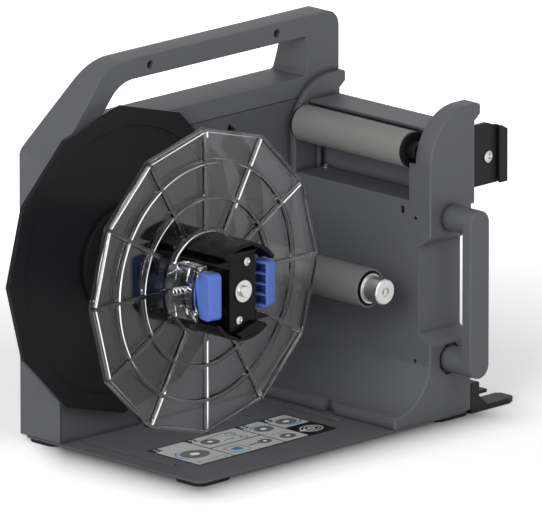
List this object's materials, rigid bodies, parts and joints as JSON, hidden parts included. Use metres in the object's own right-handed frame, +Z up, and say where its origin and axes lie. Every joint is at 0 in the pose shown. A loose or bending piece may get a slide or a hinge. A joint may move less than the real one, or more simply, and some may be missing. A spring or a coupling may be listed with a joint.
{
  "type": "label rewinder",
  "caption": "Tabletop label rewinder: motor-driven slotted hub between a black flange and a clear sliding flange with squeeze levers, swinging tension roller, guide roller and docking hooks",
  "frame": {"origin": "on the floor, in the middle of the whole machine's outline", "axes": "+X along the housing towards the tower and its docking hooks, -Y out along the spindle towards the user, +Z up"},
  "size_m": [0.4042, 0.223, 0.2895],
  "materials": {
    "housing_plastic": "fine-textured grey",
    "panel_grey": "satin grey paint",
    "base_grey": "satin grey paint",
    "black_plastic": "satin black",
    "clear_plastic": "clear, polished",
    "blue_plastic": "satin blue",
    "roller_aluminium": "fine-turned, hard-anodised",
    "steel": "machined",
    "rubber": "matt",
    "dark_metal": "black paint",
    "gear_plastic": "natural",
    "brass": "machined",
    "board_green": "solder mask"
  },
  "bodies": {
    "frame": {"base_plate": "base_grey", "rubber_feet": "rubber", "base_screws": "steel", "main_shell": "housing_plastic", "front_panel": "panel_grey", "rear_cover": "housing_plastic", "rear_cover_screws": "steel", "handle_screws": "dark_metal", "chassis_plate": "steel", "chassis_screws": "steel", "bearing_housing": "steel", "spindle_bearings": "steel", "motor": "dark_metal", "motor_screws": "steel", "control_board": "board_green", "board_standoffs": "brass", "power_inlet": "black_plastic", "switch_body": "black_plastic", "arm_pivot_pin": "steel", "arm_spring": "steel", "tower_shell": "housing_plastic", "tower_back_cover": "housing_plastic", "tower_cover_screws": "steel", "web_guide_plate": "housing_plastic", "guide_plate_screw": "steel", "guide_roller_shaft": "steel", "side_handle": "housing_plastic", "side_handle_bolts": "steel", "dock_bracket": "dark_metal", "dock_bracket_screws": "steel", "dock_foot": "black_plastic", "dock_foot_screws": "steel"},
    "spindle": {"spindle_shaft": "steel", "rear_flange": "black_plastic", "hub_upper_shell": "black_plastic", "hub_lower_shell": "black_plastic", "hub_core": "black_plastic", "hub_screws": "steel", "hub_washer": "steel", "hub_bolt": "steel", "drive_gear": "gear_plastic"},
    "pinion": {"motor_shaft": "steel", "motor_pinion": "brass"},
    "front_flange": {"front_flange": "clear_plastic", "lever_pins": "steel", "lever_springs": "steel"},
    "lever_left": {"lever_left": "blue_plastic"},
    "lever_right": {"lever_right": "blue_plastic"},
    "tension_arm": {"tension_arm": "steel", "slot_shield": "black_plastic", "tension_axle": "steel", "axle_clip": "steel"},
    "tension_roller": {"tension_roller": "roller_aluminium", "tension_roller_bushes": "black_plastic"},
    "guide_roller": {"guide_roller": "roller_aluminium", "guide_roller_caps": "black_plastic"},
    "switch_rocker": {"switch_rocker": "black_plastic"}
  },
  "joints": [
    {"name": "spindle_turn", "type": "hinge", "parent": "frame", "child": "spindle", "pos_m": [-0.0825, 0.069, 0.1404], "axis": [0, 1, 0], "continuous": true},
    {"name": "pinion_turn", "type": "hinge", "parent": "frame", "child": "pinion", "pos_m": [-0.0825, 0.069, 0.0829], "axis": [0, 1, 0], "continuous": true},
    {"name": "flange_slide", "type": "slide", "parent": "spindle", "child": "front_flange", "axis": [0, 1, 0], "range_m": [-0.05, 0.045]},
    {"name": "lever_left_squeeze", "type": "hinge", "parent": "front_flange", "child": "lever_left", "pos_m": [-0.105, -0.044, 0.1404], "axis": [0, 0, 1], "range_deg": [0, 13], "stiffness_Nm_per_rad": 0.12, "springref_deg": -14.32},
    {"name": "lever_right_squeeze", "type": "hinge", "parent": "front_flange", "child": "lever_right", "pos_m": [-0.06, -0.044, 0.1404], "axis": [0, 0, -1], "range_deg": [0, 13], "stiffness_Nm_per_rad": 0.12, "springref_deg": -14.32},
    {"name": "arm_swing", "type": "hinge", "parent": "frame", "child": "tension_arm", "pos_m": [-0.0164, 0.069, 0.1425], "axis": [0, -1, 0], "range_deg": [0, 58], "stiffness_Nm_per_rad": 0.1, "springref_deg": -17.19},
    {"name": "tension_roller_turn", "type": "hinge", "parent": "tension_arm", "child": "tension_roller", "pos_m": [0.06649, 0, 0.11151], "axis": [0, 1, 0], "continuous": true},
    {"name": "guide_roller_turn", "type": "hinge", "parent": "frame", "child": "guide_roller", "pos_m": [0.1146, 0.001, 0.2101], "axis": [0, 1, 0], "continuous": true},
    {"name": "rocker_tilt", "type": "hinge", "parent": "frame", "child": "switch_rocker", "pos_m": [0.0616, 0.106, 0.038], "axis": [-1, 0, 0], "range_deg": [0, 20]}
  ],
  "couplings": [
    {"joint": "pinion_turn", "follows": "spindle_turn", "ratio": -3.6}
  ]
}
